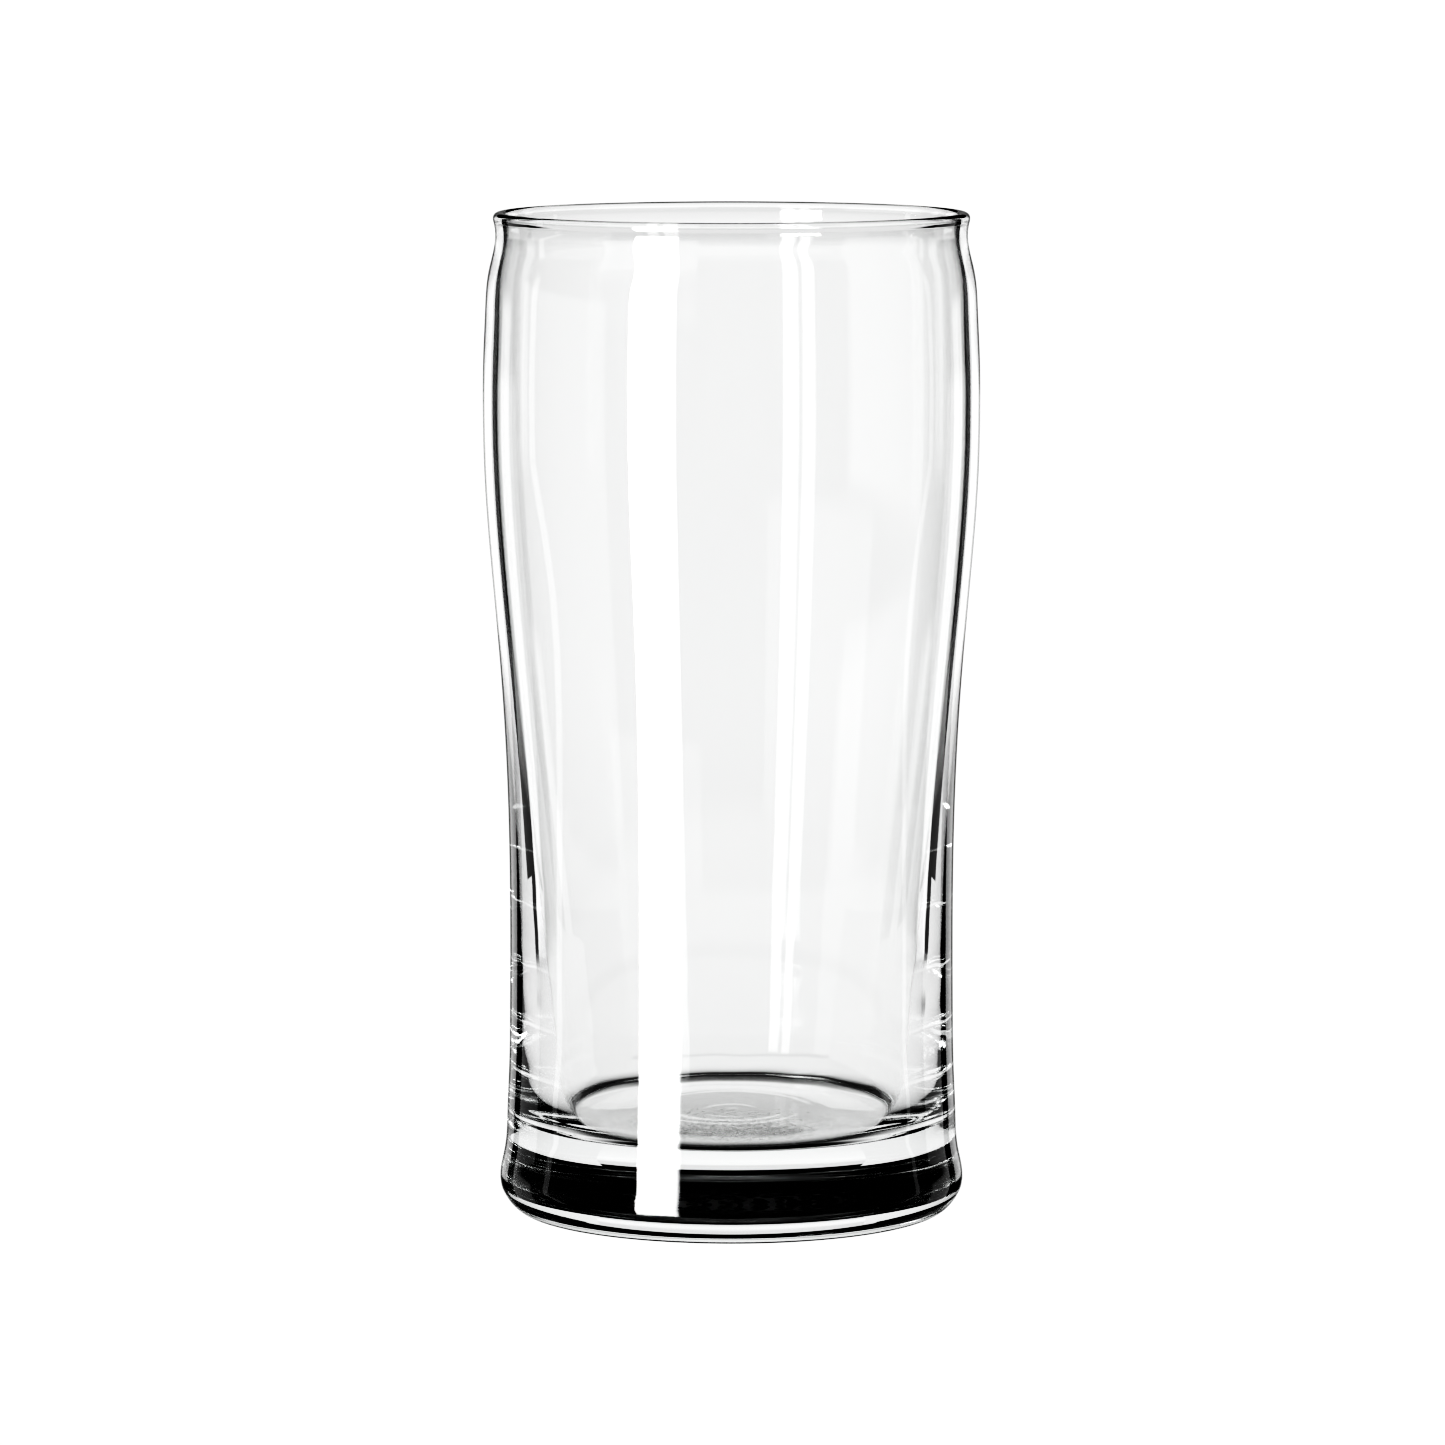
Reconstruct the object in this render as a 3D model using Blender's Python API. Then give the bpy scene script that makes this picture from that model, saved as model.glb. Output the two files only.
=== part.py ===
"""Pint glass: a straight-sided beer tumbler pressed and blown from one gather of clear glass.

The glass is a single solid turned about +Z. Its section runs up the outside from a thick round-edged
foot, in at a waist, out to a belly below the mouth, round a fire-polished bead, and down the inside to
a rounded heel and the floor of the cup. The origin is on the table, at the middle of the standing ring.
"""

import math

import bmesh
import bpy
from mathutils import Vector
from mathutils.geometry import interpolate_bezier

# Driving dimensions, in metres.
HEIGHT = 0.1558
FOOT_RADIUS = 0.03605  # widest radius of the foot, just above its round edge
FOOT_EDGE_HEIGHT = 0.0040  # the rounding between the foot's side and its underside: height and width
FOOT_EDGE_WIDTH = 0.00415
WAIST_RADIUS = 0.03453
WAIST_HEIGHT = 0.0462
BELLY_RADIUS = 0.0385
BELLY_HEIGHT = 0.1251
BEAD_RADIUS = 0.03685  # widest radius of the rounded lip
BEAD_THICKNESS = 0.0020
BEAD_HALF_HEIGHT = 0.0008
NECK_RADIUS = 0.03670  # outer radius just under the bead
BELLY_WALL = 0.00225
HEEL_RADIUS = 0.0276  # inner radius where the wall starts to round into the floor
HEEL_HEIGHT = 0.0215
FLOOR_HEIGHT = 0.0135  # thickness of the solid base, at the edge of the floor
FLOOR_RADIUS = 0.0246  # the nearly flat part of the cup's floor
FLOOR_DISH = 0.0004  # how much lower the floor is at its middle
STANDING_RING_INNER = 0.0240  # the underside is flat from here out to the round edge
PUSH_UP = 0.0007  # how far the middle of the underside is raised off the table

# Slopes of the section, as radius gained for each unit of height.
FOOT_SLOPE = -0.11
NECK_SLOPE = -0.12
HEEL_SLOPE = 0.0975

SEGMENTS = 64
GLASS_TINT = (0.93, 0.95, 0.95, 1.0)
GLASS_IOR = 1.52


def clear_scene():
    for obj in list(bpy.data.objects):
        bpy.data.objects.remove(obj, do_unlink=True)


def ring(radius, height):
    """A point of the section: the section lies in the XZ plane, on the +X side."""
    return Vector((radius, 0.0, height))


def curve(start, start_handle, end_handle, end, count):
    """Points along one Bezier stretch of the section, without its first point."""
    return interpolate_bezier(start, start_handle, end_handle, end, count + 1)[1:]


def arc(centre_radius, centre_height, radius, start_degrees, end_degrees, count, squash=1.0):
    """Points along a round edge, without its first point. The angle is 0 on the outer side, 90 on top."""
    points = []
    for step in range(1, count + 1):
        angle = math.radians(start_degrees + (end_degrees - start_degrees) * step / count)
        across = radius * math.cos(angle)
        points.append(ring(centre_radius + across, centre_height + squash * radius * math.sin(angle)))
    return points


def underside():
    """From the middle of the raised underside out over the flat standing ring."""
    middle = ring(0.0, PUSH_UP)
    ring_edge = ring(STANDING_RING_INNER, 0.0)
    flat_handle = ring(STANDING_RING_INNER * 0.45, PUSH_UP)
    edge_handle = ring(STANDING_RING_INNER * 0.75, 0.0)
    points = [middle, *curve(middle, flat_handle, edge_handle, ring_edge, 5)]
    flat_width = FOOT_RADIUS - FOOT_EDGE_WIDTH - STANDING_RING_INNER
    for share in (0.25, 0.75, 1.0):
        points.append(ring_edge + ring(share * flat_width, 0.0))
    return points


def outer_wall():
    """Up the outside: the foot's round edge, the foot, the waist and the belly, to just under the bead."""
    foot_edge = ring(FOOT_RADIUS - FOOT_EDGE_WIDTH, 0.0)
    foot = ring(FOOT_RADIUS, FOOT_EDGE_HEIGHT)
    waist = ring(WAIST_RADIUS, WAIST_HEIGHT)
    belly = ring(BELLY_RADIUS, BELLY_HEIGHT)
    neck = ring(NECK_RADIUS, HEIGHT - 2.2 * BEAD_HALF_HEIGHT)
    edge_low = foot_edge + ring(0.62 * FOOT_EDGE_WIDTH, 0.0)
    edge_high = foot - ring(0.0, 0.10 * FOOT_EDGE_HEIGHT)
    foot_handle = foot + ring(FOOT_SLOPE, 1.0) * 0.23 * (WAIST_HEIGHT - FOOT_EDGE_HEIGHT)
    waist_low = waist - ring(0.0, 0.65 * (WAIST_HEIGHT - FOOT_EDGE_HEIGHT))
    waist_high = waist + ring(0.0, 0.54 * (BELLY_HEIGHT - WAIST_HEIGHT))
    belly_low = belly - ring(0.0, 0.31 * (BELLY_HEIGHT - WAIST_HEIGHT))
    belly_high = belly + ring(0.0, 0.47 * (neck.z - BELLY_HEIGHT))
    neck_handle = neck - ring(NECK_SLOPE, 1.0) * 0.39 * (neck.z - BELLY_HEIGHT)
    points = curve(foot_edge, edge_low, edge_high, foot, 6)
    points += curve(foot, foot_handle, waist_low, waist, 5)
    points += curve(waist, waist_high, belly_low, belly, 7)
    points += curve(belly, belly_high, neck_handle, neck, 4)
    return points


def lip():
    """The fire-polished bead: a rounded rim a little proud of the wall below it."""
    half = BEAD_THICKNESS / 2
    squash = BEAD_HALF_HEIGHT / half
    return arc(BEAD_RADIUS - half, HEIGHT - BEAD_HALF_HEIGHT, half, -20, 200, 8, squash)


def inner_wall():
    """Down the inside: the belly, the thickening wall, and the rounded heel, to the middle of the floor."""
    mouth = ring(BEAD_RADIUS - BEAD_THICKNESS, HEIGHT - 2.2 * BEAD_HALF_HEIGHT)
    belly = ring(BELLY_RADIUS - BELLY_WALL, BELLY_HEIGHT)
    heel = ring(HEEL_RADIUS, HEEL_HEIGHT)
    floor_edge = ring(FLOOR_RADIUS, FLOOR_HEIGHT)
    centre = ring(0.0, FLOOR_HEIGHT - FLOOR_DISH)
    mouth_handle = mouth - ring(NECK_SLOPE, 1.0) * 0.39 * (mouth.z - BELLY_HEIGHT)
    belly_high = belly + ring(0.0, 0.47 * (mouth.z - BELLY_HEIGHT))
    belly_low = belly - ring(0.0, 0.14 * (BELLY_HEIGHT - HEEL_HEIGHT))
    heel_high = heel + ring(HEEL_SLOPE, 1.0) * 0.75 * (BELLY_HEIGHT - HEEL_HEIGHT)
    heel_low = heel - ring(HEEL_SLOPE, 1.0) * 0.50 * (HEEL_HEIGHT - FLOOR_HEIGHT)
    floor_outer = floor_edge + ring(0.62 * (HEEL_RADIUS - FLOOR_RADIUS), 0.0)
    floor_inner = ring(FLOOR_RADIUS * 0.65, FLOOR_HEIGHT)
    centre_handle = ring(FLOOR_RADIUS * 0.40, centre.z)
    points = [mouth]
    points += curve(mouth, mouth_handle, belly_high, belly, 4)
    points += curve(belly, belly_low, heel_high, heel, 7)
    points += curve(heel, heel_low, floor_outer, floor_edge, 7)
    points += curve(floor_edge, floor_inner, centre_handle, centre, 3)
    return points


def glass_material():
    material = bpy.data.materials.new("clear_glass")
    material.use_nodes = True
    shader = material.node_tree.nodes["Principled BSDF"]
    shader.inputs["Base Color"].default_value = GLASS_TINT
    shader.inputs["Metallic"].default_value = 0.0
    shader.inputs["Roughness"].default_value = 0.02
    shader.inputs["IOR"].default_value = GLASS_IOR
    shader.inputs["Transmission Weight"].default_value = 1.0
    return material


def turned_solid(name, section, material):
    """One closed body: the section, from axis to axis, spun a full turn about +Z."""
    bm = bmesh.new()
    corners = [bm.verts.new(point) for point in section]
    edges = [bm.edges.new(pair) for pair in zip(corners, corners[1:])]
    bmesh.ops.spin(
        bm,
        geom=corners + edges,
        axis=(0.0, 0.0, 1.0),
        cent=(0.0, 0.0, 0.0),
        angle=math.tau,
        steps=SEGMENTS,
        use_merge=True,
    )
    bmesh.ops.remove_doubles(bm, verts=bm.verts, dist=1e-6)
    bmesh.ops.recalc_face_normals(bm, faces=bm.faces)
    mesh = bpy.data.meshes.new(name)
    bm.to_mesh(mesh)
    bm.free()
    mesh.materials.append(material)
    mesh.shade_smooth()
    obj = bpy.data.objects.new(name, mesh)
    bpy.context.scene.collection.objects.link(obj)
    return obj


def main():
    clear_scene()
    section = underside() + outer_wall() + lip() + inner_wall()
    turned_solid("glass_body", section, glass_material())


main()
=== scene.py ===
"""Looks for the pint glass: a finely turned glass body round the CAD solid, in a bright-field studio."""

import math

import bmesh
import bpy
import numpy as np
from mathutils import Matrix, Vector, noise


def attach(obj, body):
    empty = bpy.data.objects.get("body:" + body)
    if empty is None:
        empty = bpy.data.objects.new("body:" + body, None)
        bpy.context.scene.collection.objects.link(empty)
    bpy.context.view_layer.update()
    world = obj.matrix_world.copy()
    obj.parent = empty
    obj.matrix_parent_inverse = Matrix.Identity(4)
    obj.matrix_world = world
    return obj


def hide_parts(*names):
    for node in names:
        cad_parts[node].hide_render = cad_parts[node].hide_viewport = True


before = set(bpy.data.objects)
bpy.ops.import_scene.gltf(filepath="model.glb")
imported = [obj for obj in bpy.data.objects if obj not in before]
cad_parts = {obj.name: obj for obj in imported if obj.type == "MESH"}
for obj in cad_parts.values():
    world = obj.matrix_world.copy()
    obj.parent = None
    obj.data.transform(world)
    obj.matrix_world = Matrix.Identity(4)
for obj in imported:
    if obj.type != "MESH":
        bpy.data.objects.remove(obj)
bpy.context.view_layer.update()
NODE = "glass_body"

# Fineness of the visible mesh.
SEGMENTS = 232
SECTION_STEP = 0.0009  # metres between rings on the long walls
LEAST_STEPS = 3  # rings between two neighbouring corners of the CAD section
WELD = 1e-6

# How far the inside strays from a true turned shape, in metres.
FLOOR_TOP = 0.0150  # the inside is floor below this, and heel or wall above it
RIPPLE_DEPTH = 0.000014  # the rings that the plunger leaves on the cup's floor, and their spacing
RIPPLE_PITCH = 0.0029
RIPPLE_WANDER = 2.0  # how far the rings stray from true circles, in radians of a ripple, and over what distance
WANDER_SIZE = 0.009
FLOOR_WOBBLE = 0.8  # how deep the floor's uneven part is, as a share of the rings
WAVE_DEPTH = 0.00003  # the waves round the heel and the thick lower wall, their size, and where they end
WAVE_SIZE = 0.0055
WAVES_END = 0.062

# The glass.
GLASS_IOR = 1.52
GLASS_COLOUR = (0.99, 0.992, 0.991, 1.0)
DEPTH_TINT = (0.95, 0.975, 0.968, 1.0)
DEPTH_TINT_DENSITY = 4.0
HANDLED_ROUGHNESS = (0.0, 0.02)  # least and most, over the whole glass
SCUFFED_ROUGHNESS = (0.12, 0.45)  # least and most, on the worn standing ring
WORN_HEIGHTS = (0.00001, 0.00006)  # metres off the table: worn below the first, and not above the second
WAVINESS_DEPTH = 0.000012

# Camera: a long lens, a little above the mouth, looking slightly down.
CAMERA_DISTANCE = 1.1754
CAMERA_HEIGHT = 0.2109
CAMERA_PITCH = math.radians(6.5275)
CAMERA_YAW = math.radians(0.068)
LENS_MM = 189.35
SENSOR_MM = 36.0


# ---------------------------------------------------------------- the glass body


def cad_section(node):
    """The CAD solid's section on the +X side, as [radius, height] from the underside's middle to the floor's."""
    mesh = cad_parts[node].data
    points = np.empty(len(mesh.vertices) * 3)
    mesh.vertices.foreach_get("co", points)
    points, index = np.unique(np.round(points.reshape(-1, 3) / WELD), axis=0, return_inverse=True)
    points, index = points * WELD, index.reshape(-1)
    on_section = (np.abs(points[:, 1]) < 5 * WELD) & (points[:, 0] > -5 * WELD)
    neighbours = {}
    for edge in mesh.edges:
        a, b = (int(index[vertex]) for vertex in edge.vertices)
        if a != b and on_section[a] and on_section[b]:
            neighbours.setdefault(a, set()).add(b)
            neighbours.setdefault(b, set()).add(a)
    ends = sorted((i for i in neighbours if len(neighbours[i]) == 1), key=lambda i: points[i, 2])
    walk = [ends[0]]
    while walk[-1] != ends[-1]:
        walk.append(next(i for i in neighbours[walk[-1]] if i not in walk[-2:]))
    return points[walk][:, [0, 2]]


def smooth_section(corners):
    """A natural cubic spline through the section's corners, by length along it."""
    lengths = np.linalg.norm(np.diff(corners, axis=0), axis=1)
    along = np.concatenate([[0.0], np.cumsum(lengths)])
    count = len(corners)
    system = np.eye(count)
    wanted = np.zeros((count, 2))
    for i in range(1, count - 1):
        before, after = lengths[i - 1], lengths[i]
        system[i, i - 1 : i + 2] = before, 2 * (before + after), after
        rise = (corners[i + 1] - corners[i]) / after - (corners[i] - corners[i - 1]) / before
        wanted[i] = 6 * rise
    bend = np.linalg.solve(system, wanted)
    rings = [corners[0]]
    for i, length in enumerate(lengths):
        steps = max(LEAST_STEPS, round(length / SECTION_STEP))
        for step in range(1, steps + 1):
            b = step / steps
            a = 1 - b
            cubic = ((a**3 - a) * bend[i] + (b**3 - b) * bend[i + 1]) * length**2 / 6
            rings.append(a * corners[i] + b * corners[i + 1] + cubic)
    return np.array(rings)


def stray(point):
    """How far a point of the inside lies off the true turned shape, along the surface's normal."""
    radius = math.hypot(point.x, point.y)
    wobble = noise.noise(point / WAVE_SIZE)
    if point.z < FLOOR_TOP:
        wander = RIPPLE_WANDER * noise.noise(point / WANDER_SIZE)
        ripple = math.sin(2 * math.pi * radius / RIPPLE_PITCH + wander)
        return RIPPLE_DEPTH * (ripple + FLOOR_WOBBLE * wobble) * min(1.0, radius / RIPPLE_PITCH)
    return WAVE_DEPTH * wobble * max(0.0, 1.0 - (point.z - FLOOR_TOP) / (WAVES_END - FLOOR_TOP))


def turned_body(name, rings):
    """One closed mesh: the section spun about +Z, with its two ends on the axis and its inside a little uneven."""
    bm = bmesh.new()
    turns = [2 * math.pi * step / SEGMENTS for step in range(SEGMENTS)]
    loops = []
    lip = int(np.argmax(rings[:, 1]))
    for index in range(1, len(rings) - 1):
        radius, height = rings[index]
        along = rings[index + 1] - rings[index - 1]
        out, up = np.array([along[1], -along[0]]) / np.linalg.norm(along)
        loop = []
        for turn in turns:
            point = Vector((radius * math.cos(turn), radius * math.sin(turn), height))
            if index > lip:
                normal = Vector((out * math.cos(turn), out * math.sin(turn), up))
                point += normal * stray(point)
            loop.append(bm.verts.new(point))
        loops.append(loop)
    under = bm.verts.new((0.0, 0.0, rings[0][1]))
    floor = bm.verts.new((0.0, 0.0, rings[-1][1]))
    for step in range(SEGMENTS):
        following = (step + 1) % SEGMENTS
        bm.faces.new((under, loops[0][following], loops[0][step]))
        bm.faces.new((floor, loops[-1][step], loops[-1][following]))
        for lower, upper in zip(loops, loops[1:]):
            bm.faces.new((lower[step], lower[following], upper[following], upper[step]))
    mesh = bpy.data.meshes.new(name)
    bm.to_mesh(mesh)
    bm.free()
    mesh.shade_smooth()
    obj = bpy.data.objects.new(name, mesh)
    bpy.context.scene.collection.objects.link(obj)
    return obj


def clear_glass():
    """Soda-lime glass: faintly green through its thickness, a little uneven, and worn where it stands."""
    material = bpy.data.materials.new("clear_glass")
    material.use_nodes = True
    nodes, links = material.node_tree.nodes, material.node_tree.links
    shader = nodes["Principled BSDF"]
    shader.inputs["Base Color"].default_value = GLASS_COLOUR
    shader.inputs["IOR"].default_value = GLASS_IOR
    shader.inputs["Transmission Weight"].default_value = 1.0
    place = nodes.new("ShaderNodeTexCoord").outputs["Object"]

    def unevenness(scale, detail):
        node = nodes.new("ShaderNodeTexNoise")
        node.inputs["Scale"].default_value = scale
        node.inputs["Detail"].default_value = detail
        links.new(place, node.inputs["Vector"])
        return node.outputs[0]

    def remap(value, from_low, from_high, to_low, to_high):
        node = nodes.new("ShaderNodeMapRange")
        node.clamp = True
        links.new(value, node.inputs["Value"])
        for socket, setting in zip(node.inputs[1:], (from_low, from_high, to_low, to_high)):
            socket.default_value = setting
        return node.outputs[0]

    height = nodes.new("ShaderNodeSeparateXYZ")
    links.new(place, height.inputs[0])
    handled = remap(unevenness(140.0, 4.0), 0.45, 0.75, *HANDLED_ROUGHNESS)
    scuffs = remap(unevenness(900.0, 5.0), 0.35, 0.7, *SCUFFED_ROUGHNESS)
    rough = nodes.new("ShaderNodeMix")
    links.new(remap(height.outputs["Z"], *WORN_HEIGHTS, 1.0, 0.0), rough.inputs["Factor"])
    links.new(handled, rough.inputs["A"])
    links.new(scuffs, rough.inputs["B"])
    links.new(rough.outputs["Result"], shader.inputs["Roughness"])

    waviness = nodes.new("ShaderNodeBump")
    waviness.inputs["Strength"].default_value = 1.0
    waviness.inputs["Distance"].default_value = WAVINESS_DEPTH
    links.new(unevenness(38.0, 1.0), waviness.inputs["Height"])
    links.new(waviness.outputs["Normal"], shader.inputs["Normal"])

    tint = nodes.new("ShaderNodeVolumeAbsorption")
    tint.inputs["Color"].default_value = DEPTH_TINT
    tint.inputs["Density"].default_value = DEPTH_TINT_DENSITY
    links.new(tint.outputs["Volume"], nodes["Material Output"].inputs["Volume"])
    return material


def make_glass():
    rings = smooth_section(cad_section(NODE))
    body = turned_body("glass_body_fine", rings)
    body.data.materials.append(clear_glass())
    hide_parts(NODE)
    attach(body, "root")


# ---------------------------------------------------------------- the studio

# The studio as patches of a great dome, each (name, azimuths, elevations, brightness, lean). Azimuth is in degrees
# from straight behind the glass, positive to the right. Each limit is (where, how many degrees it fades over to each
# side), and None is no limit. Lean is how far a patch slants: degrees of azimuth for each degree of elevation.
# Later patches cover earlier ones. Directions that no patch covers are black, as flags make them.
TABLE_EDGE = (-20.5, 1.0)
PANEL_SIDES = ((-28.3, 0.7), (28.3, 0.7))
SIDE_PANEL_HEIGHTS = (TABLE_EDGE, (-0.5, 1.0))
TOP_LIGHT_HEIGHTS = ((56.0, 4.0), (83.0, 3.0))
TWIN_LAMP_HEIGHTS = ((-28.0, 3.0), (8.0, 2.0))
RIM_LAMP_HEIGHTS = ((-4.0, 0.2), (14.0, 2.0))
MIRRORED_PANEL_TOP = (11.0, 1.5)
SEEN_THROUGH = (
    ("table", None, (None, TABLE_EDGE), 0.97, 0),
    # Painted shade: the table seen steeply below the glass glows only faintly here, standing in for the shadow under
    # the glass's base.
    ("table_painted_shade", None, (None, (-39.0, 14.0)), 0.03, 0),
    ("back_panel", PANEL_SIDES, (TABLE_EDGE, (8.2, 0.8)), 1.06, 0),
    ("back_panel_foot", PANEL_SIDES, (TABLE_EDGE, (-11.0, 6.0)), 0.97, 0),
    ("back_panel_head", PANEL_SIDES, ((1.5, 2.0), (8.2, 0.8)), 0.84, 0),
    ("side_panel_left", ((-50.0, 1.0), (-40.5, 0.7)), SIDE_PANEL_HEIGHTS, 1.2, 0),
    ("side_panel_right", ((40.5, 0.7), (50.0, 1.0)), SIDE_PANEL_HEIGHTS, 1.2, 0),
    ("left_panel", ((-117.5, 1.0), (-62.5, 1.0)), (TABLE_EDGE, (3.5, 1.0)), 1.05, 0),
    ("front_panel", ((107.5, 1.0), (162.5, 1.0)), ((-21.0, 1.0), (-8.0, 1.0)), 1.0, 0),
    ("twin_lamp_wide", ((-153.5, 0.5), (-146.2, 0.5)), TWIN_LAMP_HEIGHTS, 4.5, 0),
    ("twin_lamp_narrow", ((-143.2, 0.5), (-137.5, 0.5)), TWIN_LAMP_HEIGHTS, 4.5, 0),
    ("top_light_left", (None, (-124.0, 6.0)), TOP_LIGHT_HEIGHTS, 0.55, 0),
    ("top_light_right", ((124.0, 6.0), None), TOP_LIGHT_HEIGHTS, 0.55, 0),
)
REFLECTED = (
    ("back_panel", ((-31.5, 1.2), (31.5, 1.2)), ((-8.8, 0.8), MIRRORED_PANEL_TOP), 1.1, 0),
    ("back_panel_middle", ((-16.0, 3.0), (16.0, 3.0)), (TABLE_EDGE, MIRRORED_PANEL_TOP), 0.3, 0),
    ("side_panel_left", ((-62.0, 1.0), (-40.5, 0.7)), SIDE_PANEL_HEIGHTS, 1.0, 0),
    ("side_panel_right", ((40.5, 0.7), (62.0, 1.0)), SIDE_PANEL_HEIGHTS, 1.0, 0),
    ("rim_lamp_left", ((-77.2, 0.5), (-73.0, 0.5)), RIM_LAMP_HEIGHTS, 1.6, 0),
    ("rim_lamp_left_low", ((-71.8, 0.5), (-67.6, 0.5)), ((-13.5, 1.5), (-4.0, 0.2)), 1.6, 1.35),
    ("rim_lamp_right", ((73.5, 0.5), (76.5, 0.5)), RIM_LAMP_HEIGHTS, 1.3, 0),
    ("rim_lamp_right_low", ((68.6, 0.5), (71.6, 0.5)), ((-12.5, 1.5), (-4.0, 0.2)), 1.3, -1.22),
    ("softbox", ((-153.5, 1.6), (-131.8, 0.6)), ((-19.0, 3.0), (28.0, 3.0)), 25.0, 0),
)
DOME_RADIUS = 3.0

# Low upright cards close behind the glass: (name, from azimuth, to azimuth, brightness). They reach below the table,
# because rays that leave the base downwards would meet the bright table in front of them.
CARDS = (
    ("card_right", 14.6, 52.0, 0.95),
    ("card_left", -52.0, -14.6, 0.95),
)
CARD_DISTANCE = 0.110
CARD_BOTTOM = -0.030
CARD_TOP = 0.020

# The self-lit floor and backdrop, in metres. The floor lies a hair below the glass.
STAGE_RADIUS = 4.0
STAGE_HEIGHT = 3.0
STAGE_DROP = 0.0005
STAGE_BRIGHTNESS = 1.05

# The picture's tone curve, as (light, printed light): it prints studio glass with deep blacks.
TONE_CURVE = ((0.0, 0.0), (0.06, 0.004), (0.16, 0.03), (0.3, 0.19), (0.48, 0.46), (0.8, 0.83), (1.0, 1.0))


def fade_at(maths, value, limit):
    """0 below the limit and 1 above it, with a smooth rise between."""
    where, soft = limit
    return maths("SMOOTHSTEP", value, where - soft, where + soft)


def between(maths, value, limits):
    """1 between two limits and 0 outside them."""
    low, high = limits
    rise = fade_at(maths, value, low) if low else 1.0
    return maths("SUBTRACT", rise, fade_at(maths, value, high)) if high else rise


def dome(name, patches, reflected):
    """A dome of light round the glass, seen only in its reflections or only through it."""
    material = bpy.data.materials.new(name)
    material.use_nodes = True
    nodes, links = material.node_tree.nodes, material.node_tree.links
    nodes.clear()
    place = nodes.new("ShaderNodeVectorMath")
    place.operation = "NORMALIZE"
    links.new(nodes.new("ShaderNodeNewGeometry").outputs["Position"], place.inputs[0])
    direction = nodes.new("ShaderNodeSeparateXYZ")
    links.new(place.outputs["Vector"], direction.inputs[0])

    def maths(operation, *values):
        node = nodes.new("ShaderNodeMapRange" if operation == "SMOOTHSTEP" else "ShaderNodeMath")
        if operation == "SMOOTHSTEP":
            node.interpolation_type = operation
        else:
            node.operation = operation
        for socket, value in zip(node.inputs, values):
            if isinstance(value, bpy.types.NodeSocket):
                links.new(value, socket)
            else:
                socket.default_value = value
        return node.outputs[0]

    azimuth = maths("DEGREES", maths("ARCTAN2", direction.outputs["X"], direction.outputs["Y"]))
    elevation = maths("DEGREES", maths("ARCSINE", direction.outputs["Z"]))
    light = 0.0
    for _, azimuths, elevations, brightness, lean in patches:
        inside = between(maths, elevation, elevations)
        if azimuths:
            across = maths("SUBTRACT", azimuth, maths("MULTIPLY", elevation, lean)) if lean else azimuth
            inside = maths("MULTIPLY", inside, between(maths, across, azimuths))
        kept = maths("MULTIPLY", light, maths("SUBTRACT", 1.0, inside))
        light = maths("ADD", kept, maths("MULTIPLY", inside, brightness))
    glow = nodes.new("ShaderNodeEmission")
    links.new(light, glow.inputs["Strength"])
    links.new(glow.outputs[0], nodes.new("ShaderNodeOutputMaterial").inputs["Surface"])
    material.cycles.emission_sampling = "NONE"
    bpy.ops.mesh.primitive_uv_sphere_add(segments=96, ring_count=64, radius=DOME_RADIUS)
    studio_piece(bpy.context.object, name, material, glossy=reflected, transmission=not reflected)


def studio_piece(obj, name, material, camera=False, glossy=False, transmission=False):
    """A piece of the studio, seen only by the kinds of ray that are named."""
    obj.name = name
    obj.data.materials.append(material)
    obj.visible_camera = camera
    obj.visible_glossy = glossy
    obj.visible_transmission = transmission
    obj.visible_diffuse = False
    obj.visible_shadow = False


def plain_glow(name, strength):
    material = bpy.data.materials.new(name)
    material.use_nodes = True
    nodes, links = material.node_tree.nodes, material.node_tree.links
    nodes.clear()
    glow = nodes.new("ShaderNodeEmission")
    glow.inputs["Strength"].default_value = strength
    links.new(glow.outputs[0], nodes.new("ShaderNodeOutputMaterial").inputs["Surface"])
    material.cycles.emission_sampling = "NONE"
    return material


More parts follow.
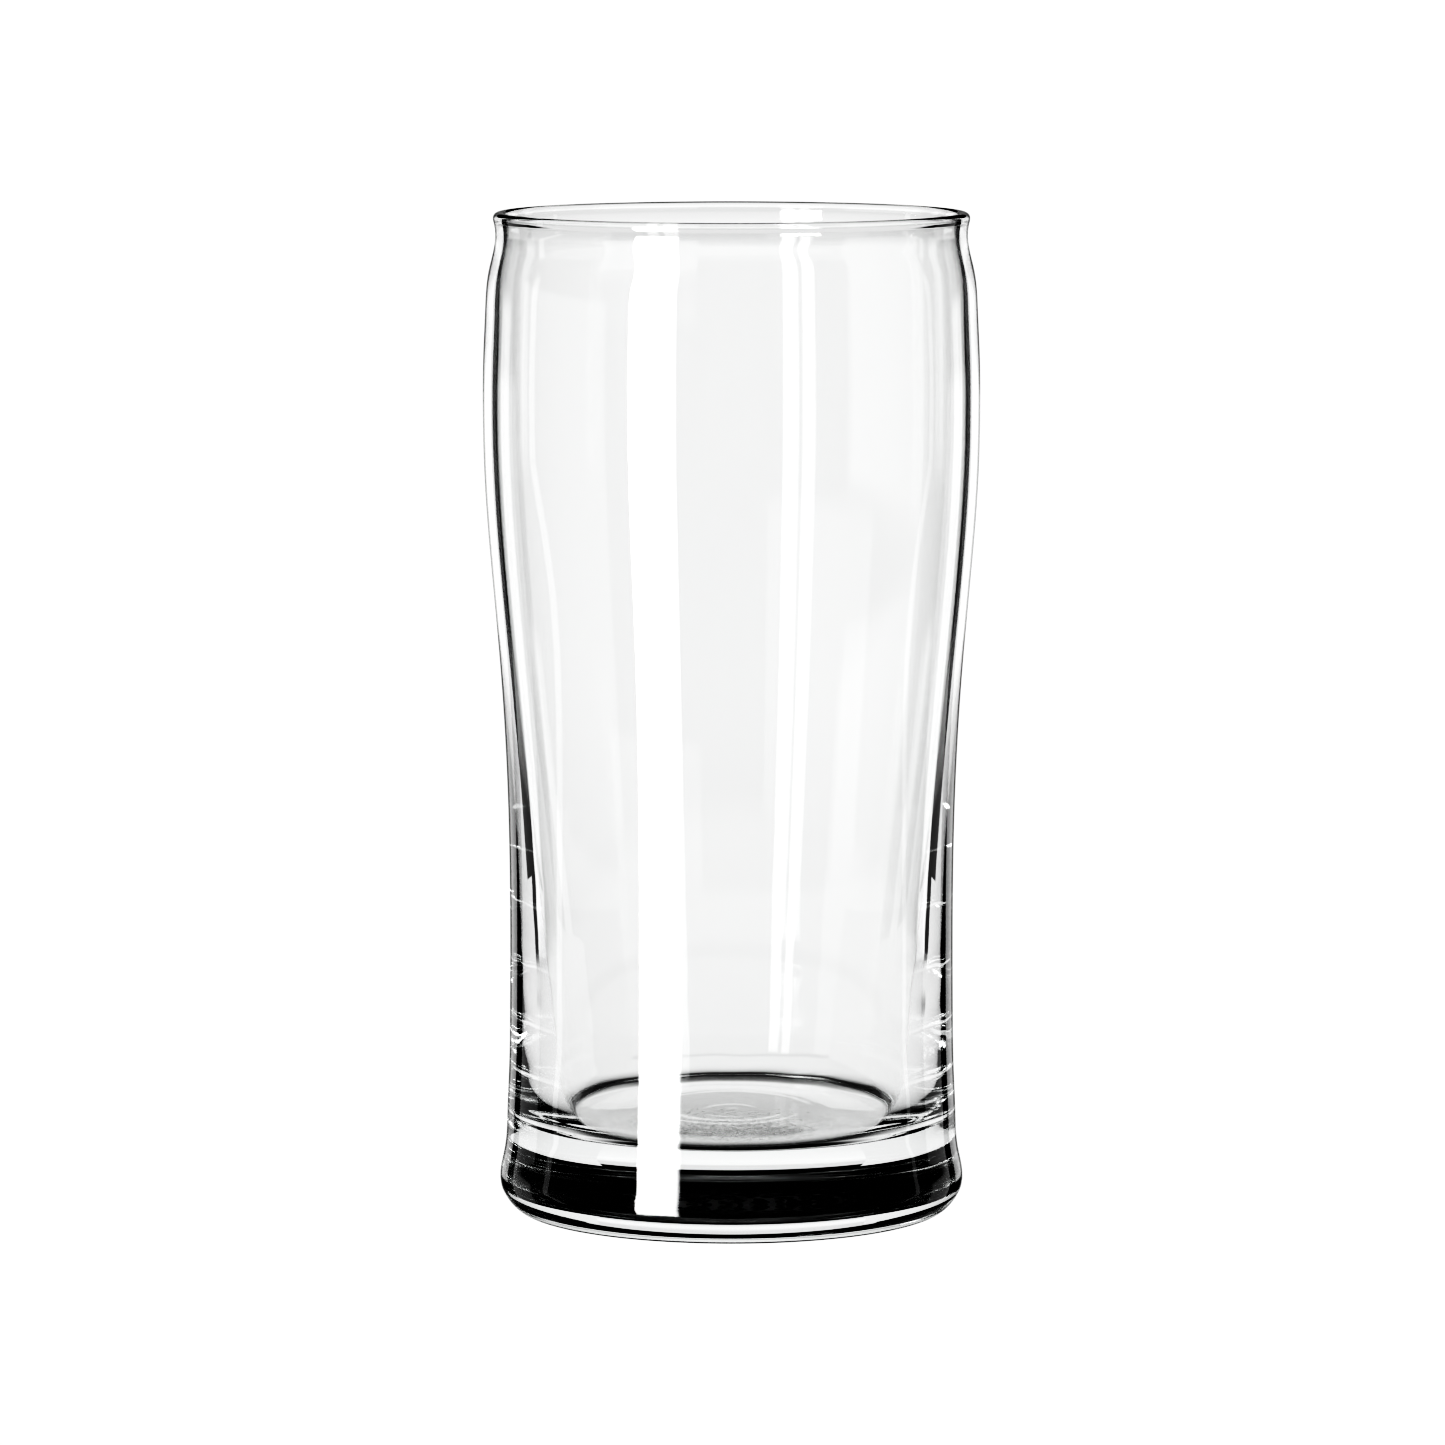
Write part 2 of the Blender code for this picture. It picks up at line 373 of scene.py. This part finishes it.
def low_card(name, left, right, brightness):
    corners = []
    for azimuth in (left, right):
        turn = math.radians(azimuth)
        corners.append((CARD_DISTANCE * math.sin(turn), CARD_DISTANCE * math.cos(turn)))
    (x0, y0), (x1, y1) = corners
    mesh = bpy.data.meshes.new(name)
    mesh.from_pydata(
        [(x0, y0, CARD_BOTTOM), (x1, y1, CARD_BOTTOM), (x1, y1, CARD_TOP), (x0, y0, CARD_TOP)], [], [(0, 1, 2, 3)]
    )
    card = bpy.data.objects.new(name, mesh)
    bpy.context.scene.collection.objects.link(card)
    studio_piece(card, name, plain_glow(name, brightness), transmission=True)


def studio():
    world = bpy.data.worlds.new("dark_studio")
    bpy.context.scene.world = world
    world.use_nodes = True
    world.node_tree.nodes["Background"].inputs["Color"].default_value = (0.0, 0.0, 0.0, 1.0)
    dome("seen_through", SEEN_THROUGH, reflected=False)
    dome("reflected", REFLECTED, reflected=True)
    for card in CARDS:
        low_card(*card)


def white_stage():
    """The pale floor and the backdrop that the camera sees."""
    middle = STAGE_HEIGHT / 2 - STAGE_DROP
    bpy.ops.mesh.primitive_cylinder_add(
        vertices=96, radius=STAGE_RADIUS, depth=STAGE_HEIGHT, location=(0.0, 0.0, middle)
    )
    studio_piece(bpy.context.object, "stage", plain_glow("pale_stage", STAGE_BRIGHTNESS), camera=True)


def make_camera():
    data = bpy.data.cameras.new("camera")
    data.lens = LENS_MM
    data.sensor_width = SENSOR_MM
    data.clip_end = 30.0
    camera = bpy.data.objects.new("camera", data)
    camera.location = (0.0, -CAMERA_DISTANCE, CAMERA_HEIGHT)
    camera.rotation_euler = (math.pi / 2 - CAMERA_PITCH, 0.0, CAMERA_YAW)
    bpy.context.scene.collection.objects.link(camera)
    bpy.context.scene.camera = camera


def tone_and_light_paths():
    scene = bpy.context.scene
    scene.view_settings.view_transform = "Standard"
    scene.view_settings.use_curve_mapping = True
    curve = scene.view_settings.curve_mapping.curves[3]  # the one for all channels together
    for light, printed in TONE_CURVE[1:-1]:
        curve.points.new(light, printed)
    scene.view_settings.curve_mapping.update()
    scene.cycles.max_bounces = 24
    scene.cycles.transmission_bounces = 24
    scene.cycles.glossy_bounces = 12
    scene.cycles.sample_clamp_indirect = 0.0


make_camera()
make_glass()
studio()
white_stage()
tone_and_light_paths()
